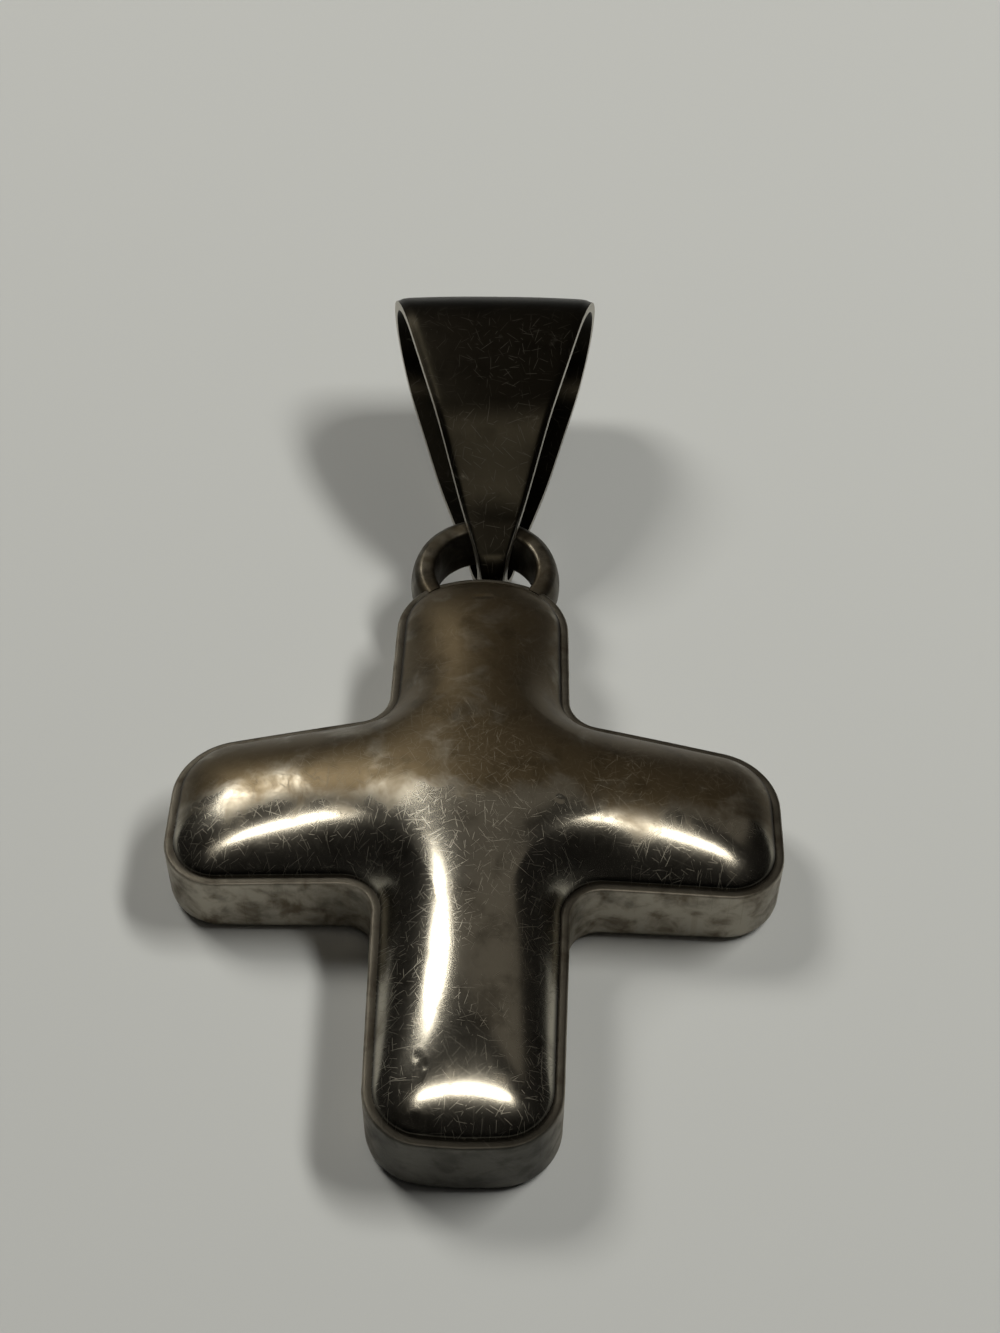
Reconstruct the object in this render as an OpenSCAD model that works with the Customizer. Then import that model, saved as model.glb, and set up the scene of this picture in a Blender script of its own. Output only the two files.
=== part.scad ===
// Hollow cross pendant: a puffed front on a shallow tray, a loop soldered to its head
// and a folded strap bail that swings on the loop. Millimetres, lying on its back.

/* [Cross outline] */
// Width over the two side arms, at the edge of the puffed front
arm_span = 30; // [29:0.1:31]
// Length of the head, from the crossing point
head_len = 15.3; // [14.8:0.1:16]
// Length of the foot, from the crossing point
foot_len = 18.8; // [17.5:0.1:20]
// Width of the head at its end
head_w_end = 8.3; // [7.8:0.1:8.8]
// Width of the head where it meets the arms
head_w_root = 8.6; // [8.2:0.1:9.2]
// Width of the foot where it meets the arms
foot_w_root = 8.8; // [8.3:0.1:9.4]
// Width of the foot at its end
foot_w_end = 8.2; // [7.6:0.1:9]
// Height of the arms' upper edge above the crossing point, at the head
arm_root_up = 5.1; // [4.6:0.1:5.6]
// Height of the arms' upper edge above the crossing point, at the tips
arm_tip_up = 2.85; // [2.4:0.05:3.4]
// Depth of the arms' lower edge below the crossing point, at the foot
arm_root_low = 4.65; // [4.2:0.05:5.2]
// Depth of the arms' lower edge below the crossing point, at the tips
arm_tip_low = 4.85; // [4.4:0.05:5.4]
// How far the middle of the head's end stands out
head_crown = 1.15; // [0.6:0.05:1.5]
// How far the middle of the foot's end stands out
foot_crown = 0.35; // [0.1:0.05:0.6]

/* [Corner radii] */
// Corners of the head
r_head = 3.2; // [2.6:0.1:3.4]
// Inner corners above the arms
r_crotch_up = 2.2; // [1.6:0.1:3]
// Upper corners of the arm tips
r_tip_up = 3; // [2.4:0.1:3.4]
// Lower corners of the arm tips
r_tip_low = 2.4; // [1.8:0.1:2.8]
// Inner corners below the arms
r_crotch_low = 2.1; // [1.5:0.1:2.8]
// Corners of the foot
r_foot = 2.5; // [2:0.1:3]

/* [Tray and front] */
// Height of the tray at the crossing point
wall_h = 4.28; // [3.8:0.05:4.8]
// How much lower the tray's rim is at the arm tips
tip_drop = 0.4; // [0:0.05:0.7]
// Width of the tray's rim outside the puffed front
rim_w = 0.46; // [0.3:0.02:0.6]
// Depth of the rim below the edge of the front
rim_drop = 0.14; // [0.08:0.02:0.3]
// Rounding of the rim's outer edge
rim_r = 0.16; // [0.08:0.02:0.24]
// Rounding of the tray's bottom edge
base_r = 0.6; // [0.3:0.05:0.9]
// Rise of the puffed front over the middle of an arm
dome_h = 2.3; // [1.8:0.05:2.8]
// Fullness of the puffed front near its edge, lower is fuller
dome_power = 0.86; // [0.75:0.01:1]
// Thickness of the silver sheet
sheet = 0.7; // [0.6:0.05:0.8]

/* [Loop] */
// Inner radius of the loop
loop_ri = 2.82; // [2.7:0.02:3]
// Outer radius of the loop at its two rims
loop_rim = 3.8; // [3.7:0.02:3.9]
// Outer radius of the loop half way between its rims
loop_ro = 4.17; // [4.1:0.01:4.3]
// Depth of the loop, from rim to rim
loop_depth = 2.9; // [2.7:0.05:3]
// Height of the middle of the loop above the back
loop_z = 2.75; // [2.65:0.05:2.85]
// Distance of the loop's centre from the crossing point
loop_y = 16.4; // [16.2:0.05:16.6]
// How far the loop's arc runs past its half circle on each side, in degrees
loop_over = 34; // [30:1:38]

/* [Bail] */
// Length of the bail from its swing axis in the loop to its fold
bail_len = 16.3; // [15.6:0.1:17]
// Length of the bail's joined tip on the other side of the swing axis
bail_tip = 3.3; // [3.2:0.05:3.4]
// Width of the strap at the loop's bar
bail_w_bar = 2.9; // [2.8:0.05:3.3]
// Width of the strap at its fold
bail_w_fold = 12.3; // [11:0.1:13]
// Width of the strap at its joined tip
bail_w_tip = 1.1; // [0.9:0.1:1.6]
// Thickness of the strap
bail_t = 0.85; // [0.8:0.05:0.9]
// Outer thickness of the folded bail at its fullest
bail_thick = 9.1; // [8.7:0.05:9.4]
// Outer thickness of the folded bail beside the loop's bar
bail_thick_bar = 5.3; // [5.25:0.05:5.35]
// Angle by which the resting bail leans to the left of the cross
bail_lean = 1.2; // [0:0.1:2.5]
// How far the bail sits to the right on the loop's bar
bail_shift = 0.32; // [0:0.02:0.36]

/* [Hidden] */
arc_step = 13;
side_step = 1.15;
tip_x = arm_span / 2;
bar_r = (loop_ri + loop_ro) / 2;
axis_y = loop_y + bar_r - 0.32;
front_y = -foot_len - rim_w;

// Right half of the outline from the foot to the head: x, y and corner radius
half_plan = [
    [foot_w_end / 2, foot_crown - foot_len, r_foot],
    [foot_w_root / 2, -arm_root_low, r_crotch_low],
    [tip_x, -arm_tip_low, r_tip_low],
    [tip_x, arm_tip_up, r_tip_up],
    [head_w_root / 2, arm_root_up, r_crotch_up],
    [head_w_end / 2, head_len - head_crown, r_head],
];
plan = concat(
    [[0, -foot_len, 14]], half_plan, [[0, head_len, 5.6]],
    [for (i = [len(half_plan) - 1:-1:0]) [-half_plan[i].x, half_plan[i].y, half_plan[i].z]]
);

function unit(v) = v / norm(v);
function flat(v) = [v.x, v.y];
function spin(v, a) = [v.x * cos(a) - v.y * sin(a), v.x * sin(a) + v.y * cos(a)];
function cross2(a, b) = a.x * b.y - a.y * b.x;
function mix(a, b, t) = a + (b - a) * t;

// Arc of radius ra that rounds the corner q on the way from p to r
function corner(p, q, r, ra) =
    let (u = unit(q - p), w = unit(r - q), t = atan2(cross2(u, w), u * w),
         n = max(2, ceil(abs(t) / arc_step)), out = sign(t) * ra * [u.y, -u.x],
         c = q - u * ra * tan(abs(t) / 2) - out)
    [for (i = [0:n]) c + spin(out, t * i / n)];

// Closed list of corners [x, y, radius] with each corner rounded
function rounded(c) =
    let (n = len(c))
    [for (i = [0:n - 1]) each corner(flat(c[(i + n - 1) % n]), flat(c[i]), flat(c[(i + 1) % n]), c[i].z)];

// Closed list of points with its long sides cut into even steps
function stepped(p, step) =
    let (n = len(p))
    [for (i = [0:n - 1]) let (q = p[(i + 1) % n], k = max(1, ceil(norm(q - p[i]) / step)))
        each [for (j = [0:k - 1]) mix(p[i], q, j / k)]];

// Outward unit normals of a closed counter-clockwise list of points
function normals(p) =
    let (n = len(p))
    [for (i = [0:n - 1])
        let (t = unit(unit(p[i] - p[(i + n - 1) % n]) + unit(p[(i + 1) % n] - p[i]))) [t.y, -t.x]];

edge = rounded(plan);
rim = stepped(edge, side_step);
rim_n = normals(rim);
count = len(rim);

// Smooth measure of how far q lies inside the outline: near the edge the distance to it
function depth_in(q) =
    let (n = len(edge),
         s = [for (i = [0:n - 1])
             let (a = edge[i] - q, b = edge[(i + 1) % n] - q, ra = norm(a), rb = norm(b))
             (ra * rb - a * b) / cross2(a, b) * (1 / ra + 1 / rb)])
    2 / (s * [for (v = s) 1]);

arm_depth = (arm_tip_up + arm_tip_low + arm_root_up + arm_root_low) / 8;

function edge_z(x) = wall_h - tip_drop * pow(x / tip_x, 2);
function puff(d) = dome_h * pow(d / arm_depth, dome_power) / (1 + 0.12 * max(0, d / arm_depth - 1));
function front_z(q) = edge_z(q.x) + puff(depth_in(q));

// One ring of points: the outline moved out by off, at height z above zero or below the rim
function ring(off, z, from_rim = false) =
    [for (i = [0:count - 1])
        let (q = rim[i] + rim_n[i] * off) [q.x, q.y, from_rim ? edge_z(rim[i].x) + z : z]];

// One ring of the front: the outline shrunk towards the crossing point by s
function front_ring(s, down = 0, off = 0) =
    [for (i = [0:count - 1]) let (q = (rim[i] + rim_n[i] * off) * s) [q.x, q.y, front_z(q) - down]];

// Closed skin through rings of equal length, fanned to one point below and one on top
function skin_faces(k, n) = concat(
    [for (i = [0:n - 1]) [i, (i + 1) % n, k * n + 1]],
    [for (j = [0:k - 2]) for (i = [0:n - 1])
        let (a = j * n + i, b = j * n + (i + 1) % n)
        each [[a, a + n, b], [b, a + n, b + n]]],
    [for (i = [0:n - 1]) [(k - 1) * n + i, k * n, (k - 1) * n + (i + 1) % n]]
);
module skin(rings, base, top) {
    n = len(rings[0]);
    polyhedron(points = concat([for (r = rings) each r], [top, base]),
               faces = skin_faces(len(rings), n), convexity = 6);
}

outer_rings = concat(
    [for (a = [0:30:90]) ring(rim_w - base_r * (1 - sin(a)), base_r * (1 - cos(a)))],
    [for (a = [0:45:90]) ring(rim_w - rim_r * (1 - cos(a)), -rim_drop - rim_r * (1 - sin(a)), true)],
    [ring(0, -rim_drop, true), ring(0, 0, true)],
    [for (s = [0.984, 0.962, 0.934, 0.9, 0.86, 0.81, 0.75, 0.68, 0.6, 0.51, 0.42, 0.33, 0.23, 0.12])
        front_ring(s)]
);
inner_rings = concat(
    [ring(rim_w - sheet - 0.3, sheet), ring(rim_w - sheet, sheet + 0.3)],
    [ring(rim_w - sheet, -0.7, true)],
    [for (s = [0.93, 0.82, 0.66, 0.48, 0.24]) front_ring(s, sheet * 1.25, -0.1)]
);

// Section of the loop: flat inside, domed outside, with softened rims
function loop_section() =
    let (h = loop_depth / 2, rise = loop_ro - loop_rim, big = (h * h + rise * rise) / (2 * rise),
         half = asin((h - 0.22) / big), c = loop_ro - big)
    concat(
        [for (a = [-half:half / 5:half + 0.01]) [c + big * cos(a), big * sin(a)]],
        [for (a = [50:40:90]) [loop_rim - 0.3 + 0.3 * cos(a), h - 0.3 + 0.3 * sin(a)]],
        [for (a = [90:30:180]) [loop_ri + 0.28 + 0.28 * cos(a), h - 0.28 + 0.28 * sin(a)]],
        [for (a = [180:30:270]) [loop_ri + 0.28 + 0.28 * cos(a), 0.28 - h + 0.28 * sin(a)]],
        [for (a = [270:40:310]) [loop_rim - 0.3 + 0.3 * cos(a), 0.3 - h + 0.3 * sin(a)]]
    );

module loop() {
    translate([0, loop_y, loop_z]) rotate([0, 0, -loop_over])
        rotate_extrude(angle = 180 + 2 * loop_over, $fn = 96) polygon(loop_section());
}

module cross() {
    color([0.55, 0.53, 0.48])
    translate([0, -mid_y, 0]) {
        difference() {
            skin(outer_rings, [0, 0, 0], [0, 0, front_z([0, 0])]);
            skin(inner_rings, [0, 0, sheet], [0, 0, front_z([0, 0]) - sheet * 1.25]);
        }
        loop();
    }
}

// Side view of the bail, s beyond the swing axis and h above it. The front leaf runs straight
// over the bar and dips at the tip, where the back leaf bends up round the bar to meet it.
// Both leaves swell towards the fold
fold_r = bail_thick / 2;
fold_s = bail_len - fold_r;
seat_r = bail_thick_bar / 2;
seat_s = -0.3;
tip_r = 1.55;
function ease(t) = let (u = min(1, max(0, t))) u * u * (3 - 2 * u);
function belly(s) = mix(seat_r, fold_r, ease(s / 7.2)) + min(0, s) * 0.13;

function fold_arc(inset) =
    [for (a = [84:-12:-84]) [fold_s + (fold_r - inset) * cos(a), (fold_r - inset) * sin(a)]];
function outer_side() = concat(
    [for (a = [196:-16:100]) [tip_r - bail_tip, belly(tip_r - bail_tip) - tip_r] + tip_r * [cos(a), sin(a)]],
    [for (s = [tip_r - bail_tip:1:fold_s]) [s, belly(s)]],
    fold_arc(0),
    [for (s = [fold_s:-1:0]) [s, -belly(s)]],
    [for (a = [-90:-12:-150]) [seat_s + seat_r * cos(a), seat_r * sin(a)]]
);
function inner_side() = concat(
    [for (s = [seat_s - 0.8:1:fold_s]) [s, belly(s) - bail_t]],
    fold_arc(bail_t),
    [for (s = [fold_s:-1:0]) [s, bail_t - belly(s)]],
    [for (a = [-90:-12:-222]) [seat_s + (seat_r - bail_t) * cos(a), (seat_r - bail_t) * sin(a)]]
);

// Angle at which the lowest point of the back leaf just rests on the surface
bail_rise = max([for (p = outer_side()) if (p.x > 1 && p.y < 0)
    atan2(-p.y, p.x) - asin(loop_z / norm(p))]);

// Far end of the resting bail, and the middle of the whole length
bail_reach = max([for (p = outer_side()) p.x * cos(bail_rise) - p.y * sin(bail_rise)]);
back_y = axis_y + bail_reach * cos(bail_lean) + bail_w_fold / 2 * sin(bail_lean);
mid_y = (front_y + back_y) / 2;

module strap_blank() {
    rotate([90, 0, 90]) linear_extrude(height = bail_w_fold + 2, center = true)
        difference() {
            polygon(outer_side());
            polygon(inner_side());
        }
}

module bail() {
    wing = (bail_w_fold - bail_w_bar) / 2 / bail_len;
    half = [[-bail_tip - 0.2, bail_w_tip / 2], [-2, bail_w_bar / 2 - 2 * wing],
            [bail_len + 1, bail_w_bar / 2 + wing * (bail_len + 1)]];
    color([0.47, 0.45, 0.4])
    translate([bail_shift, axis_y - mid_y, loop_z]) rotate([bail_rise, 0, bail_lean])
        intersection() {
            strap_blank();
            linear_extrude(height = 20, center = true)
                polygon(concat([for (p = half) [p.y, p.x]],
                               [for (i = [len(half) - 1:-1:0]) [-half[i].y, half[i].x]]));
        }
}

cross();
bail();
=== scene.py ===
"""Looks of the hollow silver cross pendant on its folded strap bail, lying on its back.

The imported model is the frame. Every size below is in millimetres, in the same frame as
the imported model, and is turned to metres when a mesh is made.
"""

import logging
import math
from dataclasses import dataclass, field
from enum import Enum

import bpy
import numpy as np
from mathutils import Matrix, Vector, noise


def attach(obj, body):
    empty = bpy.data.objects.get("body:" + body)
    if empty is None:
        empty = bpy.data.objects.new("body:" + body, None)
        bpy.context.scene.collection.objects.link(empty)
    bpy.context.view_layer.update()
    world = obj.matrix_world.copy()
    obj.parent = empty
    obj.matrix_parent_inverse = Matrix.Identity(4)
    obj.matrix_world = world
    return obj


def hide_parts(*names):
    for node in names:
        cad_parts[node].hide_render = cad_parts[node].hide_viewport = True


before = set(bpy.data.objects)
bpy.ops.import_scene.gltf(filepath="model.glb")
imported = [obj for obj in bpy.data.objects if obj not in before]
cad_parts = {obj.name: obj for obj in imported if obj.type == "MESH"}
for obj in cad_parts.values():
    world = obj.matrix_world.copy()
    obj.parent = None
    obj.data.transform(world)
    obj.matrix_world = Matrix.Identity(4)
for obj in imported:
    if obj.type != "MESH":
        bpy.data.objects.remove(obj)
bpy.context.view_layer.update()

log = logging.getLogger("pendant")

MM = 0.001
MID_Y = 8.17572  # distance from the crossing point to the middle of the whole length
Points = np.ndarray
Rings = list[Points]


class Body(Enum):
    """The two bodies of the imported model."""

    PENDANT = "pendant_body"
    BAIL = "bail_body"


class Falls(Enum):
    """What a studio light falls on. ON_PAPER hides it from reflections, and ON_METAL from the matt paper."""

    ON_ALL = "all"
    ON_PAPER = "paper"
    ON_METAL = "metal"


class Slot(Enum):
    """The record's material slots."""

    CROSS = "cross_silver"
    BAIL = "bail_silver"


# ---------------------------------------------------------------------------
# Meshes


def mix(a: Points | float, b: Points | float, t: Points | float) -> Points | float:
    """Returns the value t of the way from a to b."""
    return a + (b - a) * t


def ease(t: Points | float) -> Points | float:
    """Returns the smooth step of t between 0 and 1."""
    u = np.clip(t, 0.0, 1.0)
    return u * u * (3.0 - 2.0 * u)


def resample(path: Points, count: int, closed: bool = False) -> Points:
    """Spaces points evenly along a line of points.

    Args:
        path: The points, one a row.
        count: How many points to return.
        closed: True if the line runs back to its first point.

    Returns:
        The evenly spaced points, without a repeated last one on a closed line.
    """
    line = np.vstack([path, path[:1]]) if closed else np.asarray(path, float)
    steps = np.linalg.norm(np.diff(line, axis=0), axis=1)
    along = np.concatenate([[0.0], np.cumsum(steps)])
    wanted = np.linspace(0.0, along[-1], count + 1 if closed else count)
    if closed:
        wanted = wanted[:-1]
    return np.stack([np.interp(wanted, along, line[:, k]) for k in range(line.shape[1])], axis=1)


@dataclass
class Skin:
    """A mesh made of rings of equal length, in millimetres."""

    name: str
    rings: Rings
    closed_rings: bool = True
    closed_stack: bool = False
    caps: tuple[Points | None, Points | None] = (None, None)

    def build(self) -> bpy.types.Object:
        """Makes the object in the scene, smooth shaded.

        Returns:
            The new object, with its origin at the frame's origin.
        """
        count = len(self.rings[0])
        layers = len(self.rings)
        verts = np.vstack(self.rings)
        faces: list[tuple[int, ...]] = []
        turns = count if self.closed_rings else count - 1
        stacks = layers if self.closed_stack else layers - 1
        for j in range(stacks):
            low, high = j * count, ((j + 1) % layers) * count
            for i in range(turns):
                k = (i + 1) % count
                faces.append((low + i, low + k, high + k, high + i))
        for place, layer in zip(self.caps, (0, layers - 1)):
            if place is None:
                continue
            hub = len(verts)
            verts = np.vstack([verts, place])
            for i in range(turns):
                a, b = layer * count + i, layer * count + (i + 1) % count
                faces.append((a, hub, b) if layer == 0 else (a, b, hub))
        mesh = bpy.data.meshes.new(self.name)
        mesh.from_pydata((verts * MM).tolist(), [], faces)
        mesh.validate()
        mesh.shade_smooth()
        piece = bpy.data.objects.new(self.name, mesh)
        bpy.context.scene.collection.objects.link(piece)
        return piece


def add_sharp(piece: bpy.types.Object, angle: float) -> None:
    """Keeps the edges of a piece crisp where its faces meet at more than an angle in degrees."""
    piece.data.set_sharp_from_angle(angle=math.radians(angle))


# ---------------------------------------------------------------------------
# Finishes


def linear(code: str) -> tuple[float, float, float, float]:
    """Turns an sRGB hex value to linear light.

    Args:
        code: A value such as "#c8c4b8".

    Returns:
        Red, green, blue and an alpha of one.
    """
    shares = [int(code[i : i + 2], 16) / 255 for i in (1, 3, 5)]
    lit = [c / 12.92 if c <= 0.04045 else ((c + 0.055) / 1.055) ** 2.4 for c in shares]
    return (lit[0], lit[1], lit[2], 1.0)


def put(
    tree: bpy.types.NodeTree, kind: str, wires: dict[str | int, object] | None = None, **settings: object
) -> bpy.types.Node:
    """Adds one node with its settings and links.

    Args:
        tree: The node tree.
        kind: The node's type, without its ShaderNode prefix.
        wires: Values by input name or number. A socket is linked and anything else is set.
        settings: The node's own properties.

    Returns:
        The new node.
    """
    made = tree.nodes.new("ShaderNode" + kind)
    for key, value in settings.items():
        setattr(made, key, value)
    for key, value in (wires or {}).items():
        if isinstance(value, bpy.types.NodeSocket):
            tree.links.new(value, made.inputs[key])
        else:
            made.inputs[key].default_value = value
    return made


@dataclass(frozen=True)
class Hairlines:
    """One crop of straight hairline scratches, each in a cell of its own and at its own angle."""

    cell: float  # spacing of the scratches, mm
    width: float  # half width of one, mm. Real ones are 0.01 mm, too fine to show
    reach: float  # half length of one, as a share of the cell
    seed: float  # shifts the crop over the surface, mm

    def lay(self, tree: bpy.types.NodeTree, place: bpy.types.NodeSocket) -> bpy.types.NodeSocket:
        """Draws the scratches.

        Args:
            tree: The node tree.
            place: The point on the surface, in millimetres.

        Returns:
            A mask that is one on the scratches.
        """
        moved = put(
            tree, "VectorMath", {0: place, 1: (self.seed, self.seed * 1.7, 0.0)}, operation="ADD"
        ).outputs[0]
        flat = put(tree, "VectorMath", {0: moved, 1: (1.0, 1.0, 0.35)}, operation="MULTIPLY").outputs[0]
        cells = put(tree, "TexVoronoi", {"Vector": flat, "Scale": 1.0 / self.cell, "Randomness": 1.0})
        away = put(tree, "VectorMath", {0: flat, 1: cells.outputs["Position"]}, operation="SUBTRACT").outputs[0]
        dice = put(tree, "SeparateColor", {0: cells.outputs["Color"]})
        turn = put(tree, "Math", {0: dice.outputs[0], 1: math.pi}, operation="MULTIPLY").outputs[0]
        sine = put(tree, "Math", {0: turn}, operation="SINE").outputs[0]
        cosine = put(tree, "Math", {0: turn}, operation="COSINE").outputs[0]
        back = put(tree, "Math", {0: sine, 1: -1.0}, operation="MULTIPLY").outputs[0]
        across = put(tree, "CombineXYZ", {0: back, 1: cosine, 2: 0.0}).outputs[0]
        along = put(tree, "CombineXYZ", {0: cosine, 1: sine, 2: 0.0}).outputs[0]
        off = put(tree, "VectorMath", {0: away, 1: across}, operation="DOT_PRODUCT").outputs["Value"]
        off = put(tree, "Math", {0: off}, operation="ABSOLUTE").outputs[0]
        far = put(tree, "VectorMath", {0: away, 1: along}, operation="DOT_PRODUCT").outputs["Value"]
        far = put(tree, "Math", {0: far}, operation="ABSOLUTE").outputs[0]
        line = put(
            tree,
            "MapRange",
            {0: off, 1: self.width * 0.4, 2: self.width, 3: 1.0, 4: 0.0},
            interpolation_type="SMOOTHSTEP",
        ).outputs[0]
        end = self.reach * self.cell
        tail = put(
            tree, "MapRange", {0: far, 1: end * 0.5, 2: end, 3: 1.0, 4: 0.0}, interpolation_type="SMOOTHSTEP"
        ).outputs[0]
        drawn = put(tree, "Math", {0: line, 1: tail}, operation="MULTIPLY").outputs[0]
        deep = put(tree, "Math", {0: dice.outputs[1], 1: drawn}, operation="MULTIPLY").outputs[0]
        return deep


@dataclass(frozen=True)
class TarnishedSilver:
    """Sterling silver, raised from sheet, soldered and hand polished, then worn and tarnished.

    Silver sulphide gives thin brown to olive films that dim the mirror, and handling leaves
    crossing hairlines that catch the light.
    """

    name: str
    bright: str = "#dedace"  # bare polished silver
    film: str = "#6d5a3c"  # brown sulphide film
    deep: str = "#37322a"  # thick olive-black film
    film_from: float = 0.45  # share of the mottling that stays bare
    film_soft: float = 0.25
    film_size: float = 3.4  # width of a patch of film, mm
    film_share: float = 0.8
    deep_share: float = 0.3
    head_film: float = 0.0  # extra film on the head and the upper half of the arms
    wall_film: float = 0.0  # extra film on upright faces, where polishing never reached
    seam_shade: float = 0.0  # painted shade: a near-black band where the dome meets the rim, in place of the dark reflection of the dome's steep foot
    rim_darkening: float = 0.0  # darker colour on the narrow upward flat of the rim
    bare_edge: float = 0.0  # bare metal on the strap's cut edges
    foot_film: float = 0.0  # blue-black film round the foot
    polish: float = 0.13  # roughness of the polished metal
    dull: float = 0.32  # roughness under the film
    grain: float = 0.0  # height of the fine pitting, mm
    hairlines: tuple[Hairlines, ...] = ()
    scratch_light: float = 0.35

    def build(self) -> bpy.types.Material:
        """Makes the material.

        Returns:
            The new material.
        """
        material = bpy.data.materials.new(self.name)
        material.use_nodes = True
        tree = material.node_tree
        tree.nodes.clear()
        spot = put(tree, "TexCoord").outputs["Object"]
        place = put(tree, "VectorMath", {0: spot, "Scale": 1.0 / MM}, operation="SCALE").outputs[0]
        film = self._film(tree, place)
        colour = self._colour(tree, place, film)
        scratch = self._scratches(tree, place)
        rough = put(tree, "MapRange", {0: film, 1: 0.0, 2: 1.0, 3: self.polish, 4: self.dull}).outputs[0]
        rougher = put(tree, "Math", {0: scratch, 1: 0.32, 2: rough}, operation="MULTIPLY_ADD").outputs[0]
        light = put(tree, "Math", {0: scratch, 1: self.scratch_light}, operation="MULTIPLY", use_clamp=True).outputs[0]
        colour = put(
            tree, "Mix", {0: light, 6: colour, 7: linear(self.bright)}, data_type="RGBA", blend_type="MIX"
        ).outputs[2]
        height = put(tree, "Math", {0: scratch, 1: -0.0008}, operation="MULTIPLY").outputs[0]
        if self.grain:
            pits = put(tree, "TexNoise", {"Vector": place, "Scale": 1.6, "Detail": 5.0, "Roughness": 0.62}).outputs[0]
            height = put(tree, "Math", {0: pits, 1: self.grain, 2: height}, operation="MULTIPLY_ADD").outputs[0]
        relief = put(tree, "Bump", {"Strength": 1.0, "Distance": MM, "Height": height}).outputs[0]
        metal = put(
            tree,
            "BsdfPrincipled",
            {"Base Color": colour, "Metallic": 1.0, "Roughness": rougher, "Normal": relief},
        )
        put(tree, "OutputMaterial", {0: metal.outputs[0]})
        return material

    def _film(self, tree: bpy.types.NodeTree, place: bpy.types.NodeSocket) -> bpy.types.NodeSocket:
        """Spreads the sulphide film in soft patches.

        Args:
            tree: The node tree.
            place: The point on the surface, in millimetres.

        Returns:
            How thick the film is, from 0 to 1.
        """
        mottle = put(
            tree,
            "TexNoise",
            {"Vector": place, "Scale": 1.0 / self.film_size, "Detail": 4.0, "Roughness": 0.55, "Distortion": 0.4},
        ).outputs[0]
        if self.head_film:
            up = put(tree, "SeparateXYZ", {0: place}).outputs[1]
            rise = put(
                tree,
                "MapRange",
                {0: up, 1: -4.0 - MID_Y, 2: 0.6 - MID_Y, 3: 0.0, 4: self.head_film},
                interpolation_type="SMOOTHSTEP",
            ).outputs[0]
            mottle = put(tree, "Math", {0: mottle, 1: rise}, operation="ADD").outputs[0]
        if self.wall_film:
            lift = put(tree, "SeparateXYZ", {0: put(tree, "TexCoord").outputs["Normal"]}).outputs[2]
            lift = put(tree, "Math", {0: lift}, operation="ABSOLUTE").outputs[0]
            wall = put(tree, "MapRange", {0: lift, 1: 0.35, 2: 0.8, 3: self.wall_film, 4: 0.0}).outputs[0]
            mottle = put(tree, "Math", {0: mottle, 1: wall}, operation="ADD").outputs[0]
        return put(
            tree,
            "MapRange",
            {0: mottle, 1: self.film_from - self.film_soft, 2: self.film_from + self.film_soft, 3: 0.0, 4: 1.0},
            interpolation_type="SMOOTHSTEP",
        ).outputs[0]

    def _colour(
        self, tree: bpy.types.NodeTree, place: bpy.types.NodeSocket, film: bpy.types.NodeSocket
    ) -> bpy.types.NodeSocket:
        """Colours the metal by its film and by the marks laid over it, the painted seam shade among them.

        Args:
            tree: The node tree.
            place: The point on the surface, in millimetres.
            film: How thick the film is.

        Returns:
            The metal's colour.
        """
        share = put(tree, "Math", {0: film, 1: self.film_share}, operation="MULTIPLY").outputs[0]
        base = put(
            tree,
            "Mix",
            {0: share, 6: linear(self.bright), 7: linear(self.film)},
            data_type="RGBA",
            blend_type="MIX",
        ).outputs[2]
        spots = put(
            tree, "TexNoise", {"Vector": place, "Scale": 0.55, "Detail": 6.0, "Roughness": 0.6}
        ).outputs[0]
        spots = put(
            tree, "MapRange", {0: spots, 1: 0.48, 2: 0.72, 3: 0.0, 4: self.deep_share}, interpolation_type="SMOOTHSTEP"
        ).outputs[0]
        for mask, tone in self._masks(tree, place, spots):
            base = put(
                tree, "Mix", {0: mask, 6: base, 7: linear(tone)}, data_type="RGBA", blend_type="MIX"
            ).outputs[2]
        return base

    def _masks(
        self, tree: bpy.types.NodeTree, place: bpy.types.NodeSocket, spots: bpy.types.NodeSocket
    ) -> list[tuple[bpy.types.NodeSocket, str]]:
        """Lists what lies over the film, the painted seam shade among it, each as a mask and its colour.

        Args:
            tree: The node tree.
            place: The point on the surface, in millimetres.
            spots: The mask of the thick spots.

        Returns:
            The masks and colours, from the lowest to the topmost.
        """
        found = [(spots, self.deep)]
        parts = put(tree, "SeparateXYZ", {0: place}).outputs
        if self.foot_film:
            foot = put(
                tree, "MapRange", {0: parts[1], 1: -16.5 - MID_Y, 2: -18.4 - MID_Y, 3: 0.0, 4: self.foot_film}
            ).outputs[0]
            found.append((foot, "#40413f"))
        # Painted shade: a near-black band along the foot of the dome, in place of the dark reflection there.
        if self.seam_shade:
            drop = put(tree, "Math", {0: parts[0], 1: parts[0]}, operation="MULTIPLY").outputs[0]
            above = put(tree, "Math", {0: drop, 1: 0.4 / 15.0**2, 2: parts[2]}, operation="MULTIPLY_ADD").outputs[0]
            seam = put(
                tree,
                "MapRange",
                {0: above, 1: 4.34, 2: 4.62, 3: self.seam_shade, 4: 0.0},
                interpolation_type="SMOOTHSTEP",
            ).outputs[0]
            found.append((seam, "#17140f"))
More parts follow.
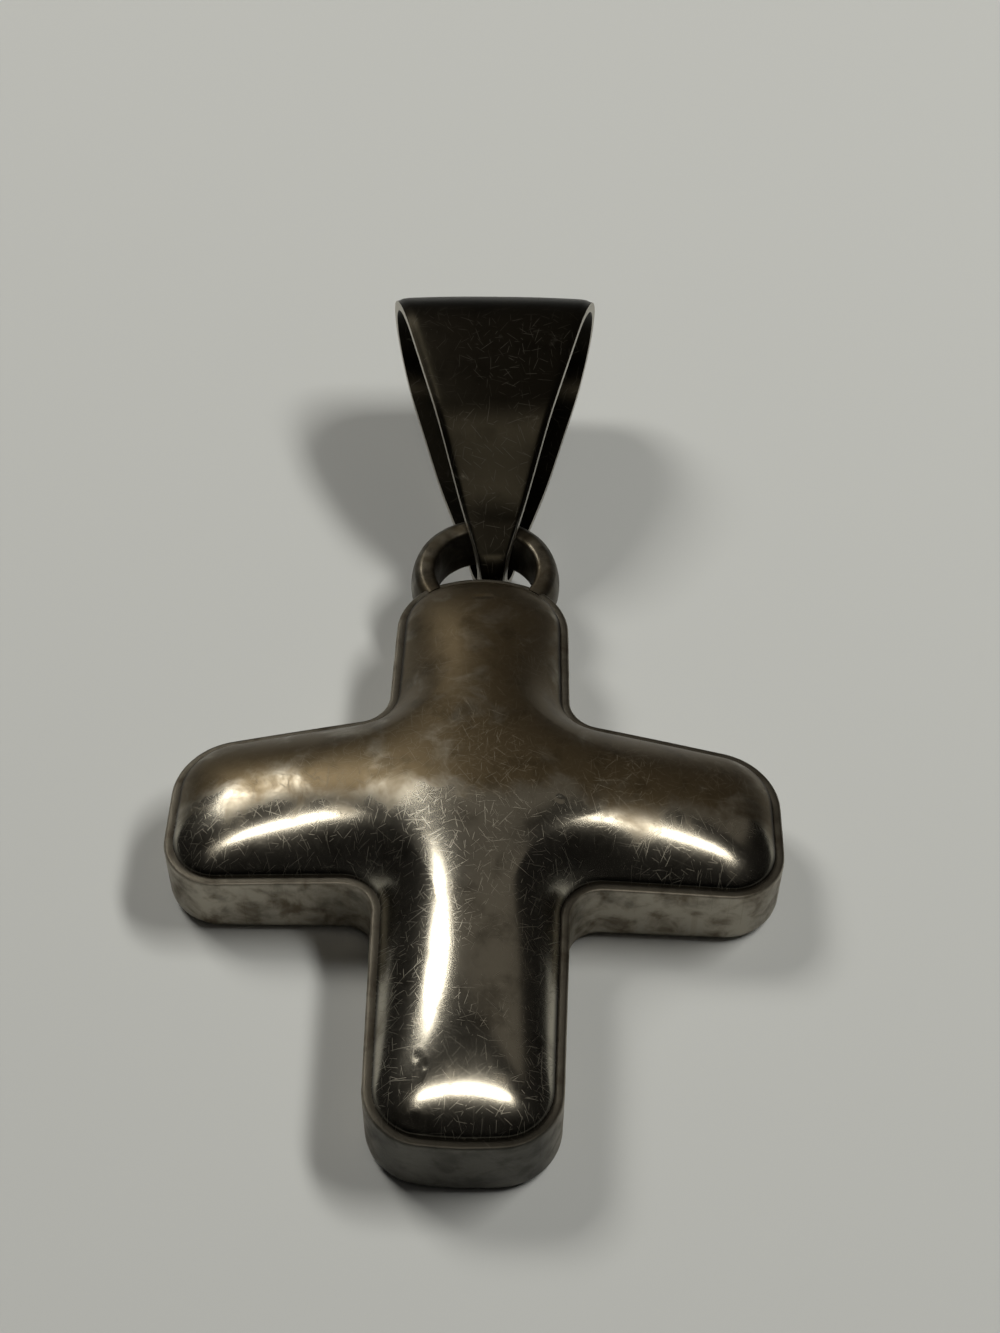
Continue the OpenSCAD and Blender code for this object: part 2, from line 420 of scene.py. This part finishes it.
        # Darker colour on faces that point up: the narrow flat of the rim.
        if self.rim_darkening:
            flat = put(tree, "SeparateXYZ", {0: put(tree, "TexCoord").outputs["Normal"]}).outputs[2]
            flat = put(tree, "MapRange", {0: flat, 1: 0.6, 2: 0.95, 3: 0.0, 4: self.rim_darkening}).outputs[0]
            found.append((flat, "#26221b"))
        if self.bare_edge:
            side = put(tree, "SeparateXYZ", {0: put(tree, "TexCoord").outputs["Normal"]}).outputs[0]
            side = put(tree, "Math", {0: side}, operation="ABSOLUTE").outputs[0]
            bare = put(tree, "MapRange", {0: side, 1: 0.75, 2: 0.9, 3: 0.0, 4: self.bare_edge}).outputs[0]
            found.append((bare, self.bright))
        return found

    def _scratches(self, tree: bpy.types.NodeTree, place: bpy.types.NodeSocket) -> bpy.types.NodeSocket:
        """Crosses the crops of hairlines over each other.

        Args:
            tree: The node tree.
            place: The point on the surface, in millimetres.

        Returns:
            A mask that is one on the scratches.
        """
        total = put(tree, "Value").outputs[0]
        total.default_value = 0.0
        for crop in self.hairlines:
            total = put(tree, "Math", {0: total, 1: crop.lay(tree, place)}, operation="MAXIMUM").outputs[0]
        wear = put(tree, "TexNoise", {"Vector": place, "Scale": 0.22, "Detail": 2.0}).outputs[0]
        wear = put(tree, "MapRange", {0: wear, 1: 0.36, 2: 0.62, 3: 0.25, 4: 1.0}).outputs[0]
        return put(tree, "Math", {0: total, 1: wear}, operation="MULTIPLY").outputs[0]


@dataclass(frozen=True)
class MattPaper:
    """Smooth matt white paper under the pendant: a plain diffuse off-white."""

    name: str = "matt_white_paper"
    tone: str = "#cfd1d0"

    def build(self) -> bpy.types.Material:
        """Makes the material.

        Returns:
            The new material.
        """
        material = bpy.data.materials.new(self.name)
        material.use_nodes = True
        tree = material.node_tree
        tree.nodes.clear()
        sheet = put(tree, "BsdfPrincipled", {"Base Color": linear(self.tone), "Roughness": 0.9})
        put(tree, "OutputMaterial", {0: sheet.outputs[0]})
        return material


FRONT_LINES = (
    Hairlines(0.62, 0.016, 0.6, 3.1),
    Hairlines(0.85, 0.018, 0.6, 17.3),
    Hairlines(0.48, 0.014, 0.55, 29.9),
    Hairlines(1.3, 0.02, 0.6, 41.7),
    Hairlines(0.7, 0.015, 0.6, 57.9),
)

POLISHED_FRONT = TarnishedSilver(
    "polished_sterling_silver_front",
    bright="#aba699",
    film="#5c4f39",
    deep="#352d1f",
    film_from=0.78,
    film_soft=0.2,
    film_size=2.6,
    head_film=0.5,
    # painted shade along the foot of the dome
    seam_shade=0.92,
    film_share=0.95,
    deep_share=0.45,
    polish=0.19,
    dull=0.42,
    hairlines=FRONT_LINES,
)
FILED_TRAY = TarnishedSilver(
    "filed_sterling_silver_tray",
    bright="#a39d90",
    film="#5a4f3f",
    deep="#3a342a",
    film_from=0.66,
    film_soft=0.16,
    film_size=1.3,
    film_share=0.9,
    deep_share=0.6,
    wall_film=0.1,
    rim_darkening=0.8,
    foot_film=0.8,
    polish=0.48,
    dull=0.54,
    grain=0.03,
    hairlines=(Hairlines(0.9, 0.02, 0.5, 7.7),),
    scratch_light=0.2,
)
BLACKENED_LOOP = TarnishedSilver(
    "blackened_sterling_silver_loop",
    bright="#6e695e",
    film="#3c3529",
    deep="#1b1814",
    film_from=0.42,
    film_soft=0.2,
    film_size=1.6,
    film_share=0.9,
    deep_share=0.7,
    polish=0.36,
    dull=0.48,
    grain=0.02,
)
WORN_BAIL = TarnishedSilver(
    "tarnished_sterling_silver_strap",
    bright="#b9b4a8",
    film="#16130c",
    deep="#0e0c08",
    film_from=0.06,
    film_soft=0.3,
    film_size=1.7,
    film_share=0.99,
    deep_share=0.4,
    bare_edge=0.9,
    scratch_light=0.12,
    polish=0.3,
    dull=0.4,
    hairlines=(Hairlines(0.6, 0.016, 0.6, 5.3), Hairlines(0.9, 0.018, 0.6, 23.9)),
)


# ---------------------------------------------------------------------------
# The cross


@dataclass
class CrossOutline:
    """The plan of the cross: four arms with rounded ends and rounded inner corners."""

    corners: tuple[tuple[float, float, float], ...] = (
        (4.1, -18.45, 2.5),
        (4.4, -4.65, 2.1),
        (15.0, -4.85, 2.4),
        (15.0, 2.85, 3.0),
        (4.3, 5.1, 2.2),
        (4.15, 14.15, 3.2),
    )
    foot: tuple[float, float, float] = (0.0, -18.8, 14.0)
    head: tuple[float, float, float] = (0.0, 15.3, 5.6)
    turn: float = 5.0  # degrees between points on a rounded corner
    count: int = 700  # points round the whole outline
    edge: Points = field(init=False)
    points: Points = field(init=False)
    outward: Points = field(init=False)

    def __post_init__(self) -> None:
        """Rounds the corners and spaces the points."""
        half = list(self.corners)
        plan = [self.foot, *half, self.head, *[(-x, y, r) for x, y, r in reversed(half)]]
        rounded: list[Points] = []
        for i, (x, y, r) in enumerate(plan):
            before, after = plan[i - 1], plan[(i + 1) % len(plan)]
            rounded.append(self._corner(before, (x, y), after, r))
        self.edge = np.vstack(rounded)
        self.points = resample(self.edge, self.count, closed=True)
        ahead = np.roll(self.points, -1, axis=0) - np.roll(self.points, 1, axis=0)
        ahead /= np.linalg.norm(ahead, axis=1)[:, None]
        self.outward = np.stack([ahead[:, 1], -ahead[:, 0]], axis=1)

    def _corner(
        self, before: tuple[float, ...], at: tuple[float, float], after: tuple[float, ...], radius: float
    ) -> Points:
        """Rounds one corner.

        Args:
            before: The corner before it.
            at: The corner.
            after: The corner after it.
            radius: The rounding's radius.

        Returns:
            The points of the arc.
        """
        q = np.array(at)
        u = q - np.array(before[:2])
        w = np.array(after[:2]) - q
        u /= np.linalg.norm(u)
        w /= np.linalg.norm(w)
        angle = math.atan2(u[0] * w[1] - u[1] * w[0], float(u @ w))
        steps = max(2, math.ceil(abs(math.degrees(angle)) / self.turn))
        side = math.copysign(1.0, angle)
        out = side * radius * np.array([u[1], -u[0]])
        centre = q - u * radius * math.tan(abs(angle) / 2) - out
        turns = np.linspace(0.0, angle, steps + 1)
        return centre + np.stack(
            [out[0] * np.cos(turns) - out[1] * np.sin(turns), out[0] * np.sin(turns) + out[1] * np.cos(turns)], axis=1
        )

    def depth(self, q: Points) -> Points:
        """Measures how far points lie inside the outline, smoothly.

        Args:
            q: The points, one a row.

        Returns:
            The depth of each: near the edge, its distance from it.
        """
        found = np.empty(len(q))
        after = np.roll(self.edge, -1, axis=0)
        for start in range(0, len(q), 4000):
            part = q[start : start + 4000, None, :]
            a, b = self.edge[None] - part, after[None] - part
            ra, rb = np.linalg.norm(a, axis=2), np.linalg.norm(b, axis=2)
            turn = a[..., 0] * b[..., 1] - a[..., 1] * b[..., 0]
            share = (ra * rb - (a * b).sum(axis=2)) / turn * (1.0 / ra + 1.0 / rb)
            found[start : start + 4000] = 2.0 / share.sum(axis=1)
        return found


@dataclass(frozen=True)
class Ding:
    """A small dent in the front: a short groove, or a pit where its ends are the same."""

    start: tuple[float, float]
    end: tuple[float, float]
    radius: float
    depth: float

    def sink(self, q: Points) -> Points:
        """Works out how deep the dent is.

        Args:
            q: Points of the plan, one a row.

        Returns:
            The depth at each point, with the low ridge that a knock pushes up round it.
        """
        a, b = np.array(self.start), np.array(self.end)
        line = b - a
        length = max(float(line @ line), 1e-9)
        t = np.clip(((q - a) @ line) / length, 0.0, 1.0)
        away = np.linalg.norm(q - a - t[:, None] * line, axis=1) / self.radius
        return self.depth * np.exp(-(away**2)) - self.depth * 0.25 * np.exp(-((away - 1.7) ** 2) * 3.0)


@dataclass
class PuffedFront:
    """The raised front of the cross: one sheet, domed by hand over its whole plan."""

    outline: CrossOutline
    wall: float = 4.28
    tip_drop: float = 0.4
    tip_x: float = 15.0
    rim_drop: float = 0.14
    rise: float = 2.3
    power: float = 0.86
    arm_depth: float = 2.18125  # smooth depth at the middle of an arm
    wave: float = 0.02  # height of the hand work's slight waves
    layers: int = 110  # rings of points between the edge and the middle
    dings: tuple[Ding, ...] = (
        Ding((-2.05, -15.5), (-1.75, -15.95), 0.17, 0.025),
        Ding((-1.75, -15.95), (-1.95, -16.45), 0.17, 0.025),
        Ding((-2.3, -18.25), (-2.1, -18.2), 0.22, 0.06),
        Ding((4.2, -1.8), (4.2, -1.8), 0.16, 0.03),
        Ding((1.58, -13.4), (1.58, -13.4), 0.18, 0.04),
        Ding((-0.4, 12.6), (0.3, 12.7), 0.16, 0.04),
    )

    def edge_z(self, x: Points) -> Points:
        """Returns the height of the front's edge."""
        return self.wall - self.tip_drop * (x / self.tip_x) ** 2

    def height(self, q: Points) -> Points:
        """Works out the front's height.

        Args:
            q: Points of the plan, one a row.

        Returns:
            The height of each, with the hand work's slight waves and the dents.
        """
        share = self.outline.depth(q) / self.arm_depth
        puff = self.rise * share**self.power / (1.0 + 0.12 * np.maximum(0.0, share - 1.0))
        wave = np.array([noise.noise(Vector((x * 0.23, y * 0.23, 1.7))) for x, y in q])
        fade = np.clip(share * 1.5, 0.0, 1.0)
        sunk = sum((d.sink(q) for d in self.dings), np.zeros(len(q)))
        return self.edge_z(q[:, 0]) + puff + wave * self.wave * fade - sunk

    def build(self) -> bpy.types.Object:
        """Makes the front.

        Returns:
            The new object.
        """
        rim = self.outline.points
        lift = self.edge_z(rim[:, 0])
        rings: Rings = [
            np.column_stack([rim[:, 0], rim[:, 1] - MID_Y, lift - self.rim_drop - 0.05]),
            np.column_stack([rim[:, 0], rim[:, 1] - MID_Y, lift - 0.03]),
            np.column_stack([rim[:, 0], rim[:, 1] - MID_Y, lift]),
        ]
        shares = 1.0 - np.linspace(0.0, 1.0, self.layers + 1)[1:-1] ** 1.25
        scaled = np.vstack([rim * s for s in shares])
        z = self.height(scaled)
        for j in range(len(shares)):
            part = slice(j * len(rim), (j + 1) * len(rim))
            rings.append(np.column_stack([scaled[part, 0], scaled[part, 1] - MID_Y, z[part]]))
        middle = np.zeros((1, 2))
        top = np.array([[0.0, -MID_Y, float(self.height(middle + 1e-6)[0])]])
        piece = Skin("puffed_front", rings, caps=(None, top)).build()
        add_sharp(piece, 50.0)
        return piece


@dataclass
class Tray:
    """The shallow tray under the front: a flat back, an upright wall and a narrow rim."""

    outline: CrossOutline
    front: PuffedFront
    rim_w: float = 0.46
    rim_r: float = 0.16
    base_r: float = 0.6

    def _ring(self, off: float, z: Points | float) -> Points:
        """Returns the outline moved outward by off, at the heights z."""
        moved = self.outline.points + self.outline.outward * off
        return np.column_stack([moved[:, 0], moved[:, 1] - MID_Y, np.broadcast_to(z, len(moved))])

    def build(self) -> bpy.types.Object:
        """Makes the tray.

        Returns:
            The new object.
        """
        lip = self.front.edge_z(self.outline.points[:, 0]) - self.front.rim_drop
        rings: Rings = []
        for a in np.linspace(0.0, math.pi / 2, 7):
            rings.append(self._ring(self.rim_w - self.base_r * (1 - math.sin(a)), self.base_r * (1 - math.cos(a))))
        for t in np.linspace(0.0, 1.0, 10)[1:-1]:
            rings.append(self._ring(self.rim_w, mix(self.base_r, lip - self.rim_r, t)))
        for a in np.linspace(0.0, math.pi / 2, 6):
            rings.append(self._ring(self.rim_w - self.rim_r * (1 - math.cos(a)), lip - self.rim_r * (1 - math.sin(a))))
        rings.append(self._ring(0.02, lip))
        rings.append(self._ring(-0.25, lip - 0.1))
        piece = Skin("tray", rings, caps=(np.array([[0.0, -MID_Y, 0.0]]), None)).build()
        add_sharp(piece, 60.0)
        return piece


@dataclass
class HangingLoop:
    """The deep loop soldered to the head: a D section, flat inside and domed outside."""

    inner: float = 2.82
    rim: float = 3.8
    outer: float = 4.17
    depth: float = 2.9
    z: float = 2.75
    y: float = 16.4
    over: float = 34.0

    def section(self) -> Points:
        """Draws the loop's closed section.

        Returns:
            The points, as distance from the loop's centre and height.
        """
        h, rise = self.depth / 2, self.outer - self.rim
        big = (h * h + rise * rise) / (2 * rise)
        half = math.asin((h - 0.22) / big)
        centre = self.outer - big
        parts: list[tuple[float, float]] = []
        for a in np.linspace(-half, half, 15):
            parts.append((centre + big * math.cos(a), big * math.sin(a)))
        for a in np.radians([60, 75, 90]):
            parts.append((self.rim - 0.3 + 0.3 * math.cos(a), h - 0.3 + 0.3 * math.sin(a)))
        for a in np.radians(np.linspace(90, 180, 6)):
            parts.append((self.inner + 0.28 + 0.28 * math.cos(a), h - 0.28 + 0.28 * math.sin(a)))
        for a in np.radians(np.linspace(180, 270, 6)):
            parts.append((self.inner + 0.28 + 0.28 * math.cos(a), 0.28 - h + 0.28 * math.sin(a)))
        for a in np.radians([270, 285, 300]):
            parts.append((self.rim - 0.3 + 0.3 * math.cos(a), 0.3 - h + 0.3 * math.sin(a)))
        return np.array(parts)

    def build(self) -> bpy.types.Object:
        """Makes the loop.

        Returns:
            The new object.
        """
        section = self.section()
        rings: Rings = []
        for a in np.radians(np.linspace(-self.over, 180 + self.over, 140)):
            rings.append(
                np.column_stack(
                    [
                        section[:, 0] * math.cos(a),
                        self.y - MID_Y + section[:, 0] * math.sin(a),
                        self.z + section[:, 1],
                    ]
                )
            )
        ends = (rings[0].mean(axis=0)[None], rings[-1].mean(axis=0)[None])
        piece = Skin("hanging_loop", [r[::-1] for r in rings], caps=ends).build()
        add_sharp(piece, 60.0)
        return piece


# ---------------------------------------------------------------------------
# The bail


@dataclass
class FoldedBail:
    """The bail: one tapered strap folded over, with its two ends joined at the tip."""

    length: float = 16.3
    tip: float = 3.3
    w_bar: float = 2.9
    w_fold: float = 12.3
    w_tip: float = 1.1
    sheet: float = 0.85
    fold_r: float = 4.55
    seat_r: float = 2.65
    swell: float = 7.2  # length over which the leaves swell to the fold's thickness
    seat_s: float = -0.3
    tip_r: float = 1.55
    rise: float = 14.686
    lean: float = 1.2
    shift: float = 0.32
    axis: tuple[float, float] = (11.3993, 2.75)
    crown: float = 0.16  # how far the outer face falls from its middle to its edges
    edge: float = 0.14  # how far the filed edge falls
    across: int = 26  # points across a face

    @property
    def fold_s(self) -> float:
        """Returns where the fold's curve starts."""
        return self.length - self.fold_r

    def belly(self, s: Points | float) -> Points | float:
        """Returns the outer half thickness of the folded strap at s."""
        return mix(self.seat_r, self.fold_r, ease(np.asarray(s) / self.swell)) + np.minimum(0.0, s) * 0.13

    def half_width(self, s: Points) -> Points:
        """Works out the strap's width.

        Args:
            s: Distances beyond the swing axis.

        Returns:
            Half the width at each.
        """
        wing = (self.w_fold - self.w_bar) / 2 / self.length
        at = [-self.tip - 0.2, -2.0, self.length + 1.0]
        half = [self.w_tip / 2, self.w_bar / 2 - 2.0 * wing, self.w_bar / 2 + wing * (self.length + 1.0)]
        return np.interp(s, at, half)

    def _leaf(self, start: float, end: float, inset: float, side: float, count: int) -> Points:
        """Returns a leaf of the side view, inset from the outer skin, on the upper or lower side."""
        s = np.linspace(start, end, count)
        return np.column_stack([s, side * (self.belly(s) - inset)])

    def _fold(self, inset: float, count: int) -> Points:
        """Returns the fold of the side view, inset from the outer skin."""
        a = np.radians(np.linspace(90.0, -90.0, count))
        return np.column_stack(
            [self.fold_s + (self.fold_r - inset) * np.cos(a), (self.fold_r - inset) * np.sin(a)]
        )

    def _seat(self, inset: float, start: float, end: float, count: int) -> Points:
        """Draws the seat's curve round the loop's bar.

        Args:
            inset: Distance inside the outer skin.
            start: The first angle in degrees.
            end: The last angle in degrees.
            count: How many points to return.

        Returns:
            The points, as s and height.
        """
        a = np.radians(np.linspace(start, end, count))
        r = self.seat_r - inset
        return np.column_stack([self.seat_s + r * np.cos(a), r * np.sin(a)])

    def sides(self) -> tuple[Points, Points]:
        """Draws the side view as two closed lines whose points belong together in pairs.

        Returns:
            The outer and the inner line, as distance s beyond the swing axis and height.
        """
        tip_s = self.tip_r - self.tip
        start = self.seat_s - 0.8
        a = np.radians(np.linspace(196.0, 100.0, 30))
        nose = np.column_stack(
            [tip_s + self.tip_r * np.cos(a), float(self.belly(tip_s)) - self.tip_r + self.tip_r * np.sin(a)]
        )
        seat_out = self._seat(0.0, -90.0, -150.0, 22)
        around = np.vstack([seat_out[-1:], nose, self._leaf(tip_s, start, 0.0, 1.0, 8)])
        outer = [
            self._leaf(start, self.fold_s, 0.0, 1.0, 60),
            self._fold(0.0, 40),
            self._leaf(self.fold_s, 0.0, 0.0, -1.0, 50),
            resample(seat_out, 22),
            resample(around, 60),
        ]
        join = np.array([[start, float(self.belly(start)) - self.sheet]])
        inner = [
            self._leaf(start, self.fold_s, self.sheet, 1.0, 60),
            self._fold(self.sheet, 40),
            self._leaf(self.fold_s, 0.0, self.sheet, -1.0, 50),
            self._seat(self.sheet, -90.0, -150.0, 22),
            resample(np.vstack([self._seat(self.sheet, -150.0, -222.0, 40), join]), 60),
        ]
        return np.vstack([p[:-1] for p in outer]), np.vstack([p[:-1] for p in inner])

    def section(self) -> Points:
        """Draws the strap's closed section.

        Returns:
            For each point its share across from -1 to 1, its share out from 0 to 1, and
            one on the outer face, which is crowned.
        """
        parts: list[tuple[float, float, float]] = []
        spread = np.sin(np.linspace(-math.pi / 2, math.pi / 2, self.across))
        for v in spread:
            parts.append((v, 1.0, 1.0))
        parts.append((1.0, 0.5, 0.0))
        for v in -spread:
            parts.append((v, 0.0, 0.0))
        parts.append((-1.0, 0.5, 0.0))
        return np.array(parts)

    def build(self) -> bpy.types.Object:
        """Makes the bail, resting on its back leaf.

        Returns:
            The new object.
        """
        outer, inner = self.sides()
        section = self.section()
        rings: Rings = []
        for far, near in zip(outer, inner):
            gap = far - near
            thick = float(np.linalg.norm(gap))
            way = gap / thick
            outs = []
            for v, out, top in section:
                drop = (self.crown * abs(v) ** 2.5 + self.edge * ease((abs(v) - 0.9) / 0.1)) * top
                p = near + gap * out - way * drop
                x = v * float(self.half_width(p[0]))
                outs.append((x, p[0], p[1]))
            rings.append(np.array(outs))
        piece = Skin("folded_bail", [r[::-1] for r in rings], closed_stack=True).build()
        add_sharp(piece, 42.0)
        place = (
            Matrix.Translation((self.shift * MM, self.axis[0] * MM, self.axis[1] * MM))
            @ Matrix.Rotation(math.radians(self.lean), 4, "Z")
            @ Matrix.Rotation(math.radians(self.rise), 4, "X")
        )
        piece.data.transform(place)
        return piece


# ---------------------------------------------------------------------------
# Stage, light and camera


@dataclass(frozen=True)
class SoftBox:
    """One soft studio light: a panel that faces the pendant."""

    name: str
    towards: tuple[float, float, float]  # direction from the pendant to the light
    distance: float  # metres
    size: tuple[float, float]  # metres, across and along
    power: float  # watts
    tone: str = "#fff6e4"
    falls: Falls = Falls.ON_ALL

    def build(self) -> bpy.types.Object:
        """Makes the light.

        Returns:
            The new light object.
        """
        data = bpy.data.lights.new(self.name, "AREA")
        data.shape = "RECTANGLE"
        data.size, data.size_y = self.size
        data.energy = self.power
        data.color = linear(self.tone)[:3]
        lamp = bpy.data.objects.new(self.name, data)
        way = Vector(self.towards).normalized()
        lamp.rotation_mode = "QUATERNION"
        lamp.rotation_quaternion = way.to_track_quat("Z", "Y")
        lamp.visible_glossy = self.falls is not Falls.ON_PAPER
        lamp.visible_diffuse = self.falls is not Falls.ON_METAL
        lamp.location = way * self.distance + Vector((0.0, -MID_Y * MM, 0.0))
        bpy.context.scene.collection.objects.link(lamp)
        return lamp


@dataclass
class Studio:
    """The paper, the soft lights and the camera."""

    lights: tuple[SoftBox, ...] = (
        SoftBox("soft_box_left", (-0.66, 0.66, 1.0), 0.42, (0.13, 0.13), 0.66, "#fffcf4"),
        SoftBox("strip_light_right", (0.66, 0.22, 1.0), 0.42, (0.22, 0.06), 0.98, "#fffdf6", Falls.ON_PAPER),
        SoftBox("reflector_front", (0.02, -0.3, 1.0), 0.42, (0.4, 0.055), 0.8, "#fffaf0", Falls.ON_METAL),
        SoftBox("reflector_back", (0.15, 0.7, 0.72), 0.42, (0.7, 0.4), 0.13, "#fff4e2", Falls.ON_METAL),
    )
    world: str = "#1c1b1a"
    backdrop: str = "#a9a9a3"
    eye: tuple[float, float, float] = (2.2667, -69.1104, 84.7193)
    ahead: tuple[float, float, float] = (-0.01181, 0.65588, -0.75478)
    roll: float = 0.62

    def build(self) -> None:
        """Sets up the paper, the lights, the world and the camera."""
        self._paper()
        for light in self.lights:
            light.build()
        self._world()
        self._camera()

    def _paper(self) -> None:
        """Lays a large sheet of paper under the pendant."""
        mesh = bpy.data.meshes.new("paper")
        r = 0.6
        mesh.from_pydata([(-r, -r, 0), (r, -r, 0), (r, r, 0), (-r, r, 0)], [], [(0, 1, 2, 3)])
        paper = bpy.data.objects.new("paper", mesh)
        paper.data.materials.append(MattPaper().build())
        bpy.context.scene.collection.objects.link(paper)

    def _world(self) -> None:
        """Gives the room its dim even light, behind a pale backdrop."""
        world = bpy.data.worlds.new("dim_room")
        world.use_nodes = True
        tree = world.node_tree
        tree.nodes.clear()
        air = put(tree, "Background", {"Color": linear(self.world), "Strength": 1.0})
        wall = put(tree, "Background", {"Color": linear(self.backdrop), "Strength": 1.0})
        seen = put(tree, "LightPath").outputs["Is Camera Ray"]
        both = put(tree, "MixShader", {0: seen, 1: air.outputs[0], 2: wall.outputs[0]})
        put(tree, "OutputWorld", {0: both.outputs[0]})
        bpy.context.scene.world = world

    def _camera(self) -> None:
        """Places the camera at the photograph's angle."""
        data = bpy.data.cameras.new("photo_camera")
        data.sensor_fit = "HORIZONTAL"
        data.sensor_width = 36.0
        data.lens = 72.0
        data.clip_start = 0.001
        data.clip_end = 10.0
        ahead = Vector(self.ahead).normalized()
        level = ahead.cross(Vector((0.0, 0.0, 1.0))).normalized()
        up = level.cross(ahead)
        c, s = math.cos(math.radians(self.roll)), math.sin(math.radians(self.roll))
        across, above = level * c + up * s, up * c - level * s
        turn = Matrix((across, above, -ahead)).transposed()
        camera = bpy.data.objects.new("photo_camera", data)
        camera.matrix_world = Matrix.Translation(Vector(self.eye) * MM) @ turn.to_4x4()
        bpy.context.scene.collection.objects.link(camera)
        bpy.context.scene.camera = camera


def dress(piece: bpy.types.Object, finish: TarnishedSilver, body: Body, node: str) -> None:
    """Gives a piece its finish and fixes it to the frame.

    Args:
        piece: The piece.
        finish: Its finish.
        body: The body that it moves with.
        node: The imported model's node that it stands for.
    """
    piece.data.materials.clear()
    piece.data.materials.append(finish.build())
    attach(piece, body.value)
    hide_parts(node)
    log.info("%s: %d faces, %s", piece.name, len(piece.data.polygons), finish.name)


def main() -> None:
    """Builds the pendant, piece by piece, and then the studio."""
    logging.basicConfig(level=logging.INFO, format="%(name)s: %(message)s")
    outline = CrossOutline()
    front = PuffedFront(outline)
    dress(front.build(), POLISHED_FRONT, Body.PENDANT, "cross")
    dress(Tray(outline, front).build(), FILED_TRAY, Body.PENDANT, "cross")
    dress(HangingLoop().build(), BLACKENED_LOOP, Body.PENDANT, "cross")
    dress(FoldedBail().build(), WORN_BAIL, Body.BAIL, "bail")
    Studio().build()
    scene = bpy.context.scene
    scene.view_settings.view_transform = "Standard"


if __name__ == "__main__":
    main()
